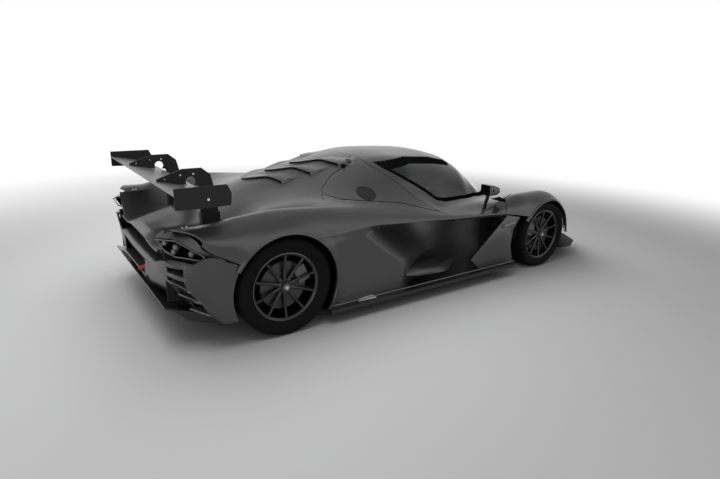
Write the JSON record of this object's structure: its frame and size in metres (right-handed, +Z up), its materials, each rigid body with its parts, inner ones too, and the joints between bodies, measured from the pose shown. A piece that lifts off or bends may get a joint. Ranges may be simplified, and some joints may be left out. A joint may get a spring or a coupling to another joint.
{
  "type": "lightweight sports car",
  "caption": "Low closed two-seat track car with a front-hinged canopy, centre-lock wheels and a swan-neck rear wing; wheels roll, steer and the canopy opens.",
  "frame": {"origin": "on the floor, at the middle of the overall length and width", "axes": "+X towards the nose, +Y to the car's left, +Z up"},
  "size_m": [4.626, 2.04, 1.155],
  "materials": {
    "body_wrap": "satin charcoal wrap over carbon panels",
    "black_carbon": "matte black carbon",
    "tub_carbon": "bare matte carbon",
    "tyre": "slick racing rubber",
    "rim_paint": "gloss black",
    "disc_iron": "machined",
    "cast_metal": "cast",
    "arm_steel": "black steel tube",
    "pipe_steel": "heat tinted",
    "lamp_glass": "clear lens",
    "lamp_black": "smoked lens",
    "window_glass": "tinted visor",
    "strap_fabric": "red webbing",
    "seat_fabric": "black racing cloth",
    "grip_rubber": "grip"
  },
  "bodies": {
    "chassis": {"canopy_hinge": "arm_steel", "dashboard": "tub_carbon", "diffuser": "black_carbon", "drive_shafts": "arm_steel", "engine_block": "cast_metal", "engine_cover": "body_wrap", "exhaust": "pipe_steel", "floor": "black_carbon", "front_arms": "arm_steel", "front_fenders": "body_wrap", "front_splitter": "black_carbon", "headlamps": "lamp_glass", "nose": "body_wrap", "rear_arms": "arm_steel", "rear_corners": "body_wrap", "rear_fascia": "black_carbon", "rear_quarters": "body_wrap", "rear_uprights": "cast_metal", "sail_panels": "body_wrap", "seats": "seat_fabric", "side_blades": "body_wrap", "side_pods": "body_wrap", "tail_deck": "body_wrap", "tail_lamps": "lamp_black", "tow_strap": "strap_fabric", "tub": "tub_carbon", "wing_endplates": "black_carbon", "wing_plane": "body_wrap", "wing_struts": "black_carbon"},
    "canopy": {"canopy_shell": "body_wrap", "visor": "window_glass", "mirrors": "black_carbon"},
    "steering": {"steering_wheel": "grip_rubber"},
    "knuckle_left": {"upright_front_left": "cast_metal"},
    "knuckle_right": {"upright_front_right": "cast_metal"},
    "wheel_front_left": {"tyre_front_left": "tyre", "rim_front_left": "rim_paint", "brake_disc_front_left": "disc_iron"},
    "wheel_front_right": {"tyre_front_right": "tyre", "rim_front_right": "rim_paint", "brake_disc_front_right": "disc_iron"},
    "wheel_rear_left": {"tyre_rear_left": "tyre", "rim_rear_left": "rim_paint", "brake_disc_rear_left": "disc_iron"},
    "wheel_rear_right": {"tyre_rear_right": "tyre", "rim_rear_right": "rim_paint", "brake_disc_rear_right": "disc_iron"}
  },
  "joints": [
    {"name": "canopy_open", "type": "hinge", "parent": "chassis", "child": "canopy", "pos_m": [1.4175, 0, 0.52553], "axis": [0, 1, 0], "range_deg": [0, 45]},
    {"name": "steer_left", "type": "hinge", "parent": "chassis", "child": "knuckle_left", "pos_m": [1.332, 0.8047, 0.328], "axis": [0, 0, 1], "range_deg": [-20, 20]},
    {"name": "steer_right", "type": "hinge", "parent": "chassis", "child": "knuckle_right", "pos_m": [1.332, -0.8047, 0.328], "axis": [0, 0, 1], "range_deg": [-20, 20]},
    {"name": "hand_wheel", "type": "hinge", "parent": "chassis", "child": "steering", "pos_m": [0.192, 0.27, 0.6699], "axis": [-0.9397, 0, 0.342], "range_deg": [-240, 240]},
    {"name": "spin_front_left", "type": "hinge", "parent": "knuckle_left", "child": "wheel_front_left", "pos_m": [1.332, 0.83, 0.328], "axis": [0, 1, 0], "continuous": true},
    {"name": "spin_front_right", "type": "hinge", "parent": "knuckle_right", "child": "wheel_front_right", "pos_m": [1.332, -0.83, 0.328], "axis": [0, 1, 0], "continuous": true},
    {"name": "spin_rear_left", "type": "hinge", "parent": "chassis", "child": "wheel_rear_left", "pos_m": [-1.518, 0.83, 0.351], "axis": [0, 1, 0], "continuous": true},
    {"name": "spin_rear_right", "type": "hinge", "parent": "chassis", "child": "wheel_rear_right", "pos_m": [-1.518, -0.83, 0.351], "axis": [0, 1, 0], "continuous": true}
  ],
  "couplings": [
    {"joint": "steer_right", "follows": "steer_left", "ratio": 1},
    {"joint": "hand_wheel", "follows": "steer_left", "ratio": 12}
  ]
}
